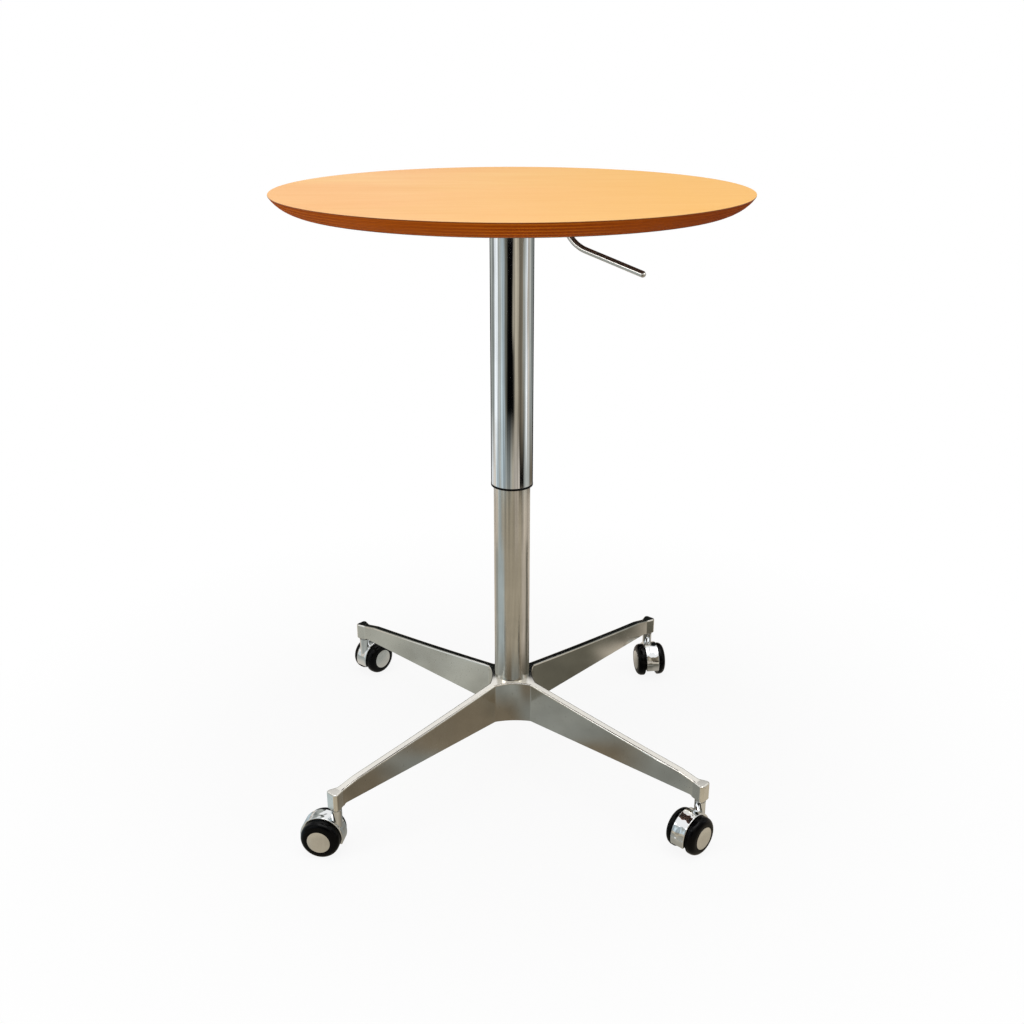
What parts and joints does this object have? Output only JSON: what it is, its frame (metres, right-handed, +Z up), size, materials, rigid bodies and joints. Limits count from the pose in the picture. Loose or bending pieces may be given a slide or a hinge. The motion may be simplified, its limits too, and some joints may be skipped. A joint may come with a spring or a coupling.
{
  "type": "telescoping pedestal table",
  "caption": "Round table on a gas-lift column of two chrome tubes, with a release lever under the top and a star base on twin-wheel casters.",
  "frame": {"origin": "on the floor, on the column's axis", "axes": "+Z up along the column; the base's arms lie at 45 degrees to X and Y; -Y is the front"},
  "size_m": [0.5999, 0.6, 0.81],
  "materials": {
    "veneer": "satin lacquer",
    "plywood_edge": "stained",
    "backing": "matte",
    "chrome": "polished",
    "caster_chrome": "polished",
    "worn_chrome": "polished, dulled by handling",
    "polished_aluminium": "polished",
    "steel": "zinc plated",
    "black_paint": "powder coat",
    "black_plastic": "moulded",
    "nylon": "moulded",
    "wheel_black": "gloss",
    "cap_satin": "satin",
    "brass": "plain",
    "rubber": "moulded"
  },
  "bodies": {
    "base": {"star_base": "polished_aluminium", "inner_tube": "worn_chrome", "tube_guide_bush": "nylon", "tube_bottom_plate": "steel", "bearing_lower_race": "steel", "bearing_cage": "brass", "bearing_balls": "steel", "stem_sleeves": "steel", "caster_stems": "steel"},
    "piston": {"gas_rod": "chrome", "gas_piston": "steel", "piston_nut": "steel", "rod_buffer": "rubber", "rod_washer": "steel", "rod_clip": "steel", "bearing_upper_race": "steel"},
    "top": {"top_veneer": "veneer", "top_core": "plywood_edge", "top_backing": "backing", "mount_channel": "black_paint", "mount_screws": "steel", "threaded_inserts": "brass", "taper_socket": "steel", "outer_tube": "chrome", "lower_guide_bush": "black_plastic", "gas_cylinder": "black_paint", "gas_rod_guide": "steel", "lever_pivot_pin": "steel", "pivot_clips": "steel"},
    "lever": {"lever_rod": "worn_chrome", "lever_tongue": "steel", "lever_screw": "steel"},
    "release": {"release_pin": "steel"},
    "front_right_caster": {"front_right_caster_body": "caster_chrome", "front_right_axle": "steel"},
    "front_right_wheel_a": {"front_right_wheel_a": "wheel_black", "front_right_cap_a": "cap_satin"},
    "front_right_wheel_b": {"front_right_wheel_b": "wheel_black", "front_right_cap_b": "cap_satin"},
    "rear_right_caster": {"rear_right_caster_body": "caster_chrome", "rear_right_axle": "steel"},
    "rear_right_wheel_a": {"rear_right_wheel_a": "wheel_black", "rear_right_cap_a": "cap_satin"},
    "rear_right_wheel_b": {"rear_right_wheel_b": "wheel_black", "rear_right_cap_b": "cap_satin"},
    "rear_left_caster": {"rear_left_caster_body": "caster_chrome", "rear_left_axle": "steel"},
    "rear_left_wheel_a": {"rear_left_wheel_a": "wheel_black", "rear_left_cap_a": "cap_satin"},
    "rear_left_wheel_b": {"rear_left_wheel_b": "wheel_black", "rear_left_cap_b": "cap_satin"},
    "front_left_caster": {"front_left_caster_body": "caster_chrome", "front_left_axle": "steel"},
    "front_left_wheel_a": {"front_left_wheel_a": "wheel_black", "front_left_cap_a": "cap_satin"},
    "front_left_wheel_b": {"front_left_wheel_b": "wheel_black", "front_left_cap_b": "cap_satin"}
  },
  "joints": [
    {"name": "column_swivel", "type": "hinge", "parent": "base", "child": "piston", "pos_m": [0, 0, 0.08], "axis": [0, 0, 1], "continuous": true},
    {"name": "lift", "type": "slide", "parent": "piston", "child": "top", "axis": [0, 0, 1], "range_m": [-0.205, 0]},
    {"name": "lever_pull", "type": "hinge", "parent": "top", "child": "lever", "pos_m": [0.02396, -0.01805, 0.7775], "axis": [-0.6018, -0.7986, 0], "range_deg": [0, 6], "stiffness_Nm_per_rad": 2},
    {"name": "release_press", "type": "slide", "parent": "top", "child": "release", "axis": [0, 0, 1], "range_m": [-0.0035, 0]},
    {"name": "front_right_swivel", "type": "hinge", "parent": "base", "child": "front_right_caster", "pos_m": [0.23547, -0.23547, 0.055], "axis": [0, 0, 1], "continuous": true},
    {"name": "front_right_wheel_a_spin", "type": "hinge", "parent": "front_right_caster", "child": "front_right_wheel_a", "pos_m": [0.22157, -0.24843, 0.026], "axis": [0.682, -0.7314, 0], "continuous": true},
    {"name": "front_right_wheel_b_spin", "type": "hinge", "parent": "front_right_caster", "child": "front_right_wheel_b", "pos_m": [0.22157, -0.24843, 0.026], "axis": [0.682, -0.7314, 0], "continuous": true},
    {"name": "rear_right_swivel", "type": "hinge", "parent": "base", "child": "rear_right_caster", "pos_m": [0.23547, 0.23547, 0.055], "axis": [0, 0, 1], "continuous": true},
    {"name": "rear_right_wheel_a_spin", "type": "hinge", "parent": "rear_right_caster", "child": "rear_right_wheel_a", "pos_m": [0.23745, 0.21657, 0.026], "axis": [0.9945, 0.1045, 0], "continuous": true},
    {"name": "rear_right_wheel_b_spin", "type": "hinge", "parent": "rear_right_caster", "child": "rear_right_wheel_b", "pos_m": [0.23745, 0.21657, 0.026], "axis": [0.9945, 0.1045, 0], "continuous": true},
    {"name": "rear_left_swivel", "type": "hinge", "parent": "base", "child": "rear_left_caster", "pos_m": [-0.23547, 0.23547, 0.055], "axis": [0, 0, 1], "continuous": true},
    {"name": "rear_left_wheel_a_spin", "type": "hinge", "parent": "rear_left_caster", "child": "rear_left_wheel_a", "pos_m": [-0.22251, 0.24936, 0.026], "axis": [-0.7314, 0.682, 0], "continuous": true},
    {"name": "rear_left_wheel_b_spin", "type": "hinge", "parent": "rear_left_caster", "child": "rear_left_wheel_b", "pos_m": [-0.22251, 0.24936, 0.026], "axis": [-0.7314, 0.682, 0], "continuous": true},
    {"name": "front_left_swivel", "type": "hinge", "parent": "base", "child": "front_left_caster", "pos_m": [-0.23547, -0.23547, 0.055], "axis": [0, 0, 1], "continuous": true},
    {"name": "front_left_wheel_a_spin", "type": "hinge", "parent": "front_left_caster", "child": "front_left_wheel_a", "pos_m": [-0.25405, -0.23152, 0.026], "axis": [-0.2079, -0.9781, 0], "continuous": true},
    {"name": "front_left_wheel_b_spin", "type": "hinge", "parent": "front_left_caster", "child": "front_left_wheel_b", "pos_m": [-0.25405, -0.23152, 0.026], "axis": [-0.2079, -0.9781, 0], "continuous": true}
  ],
  "couplings": [
    {"joint": "release_press", "follows": "lever_pull", "m_per_rad": -0.03}
  ]
}
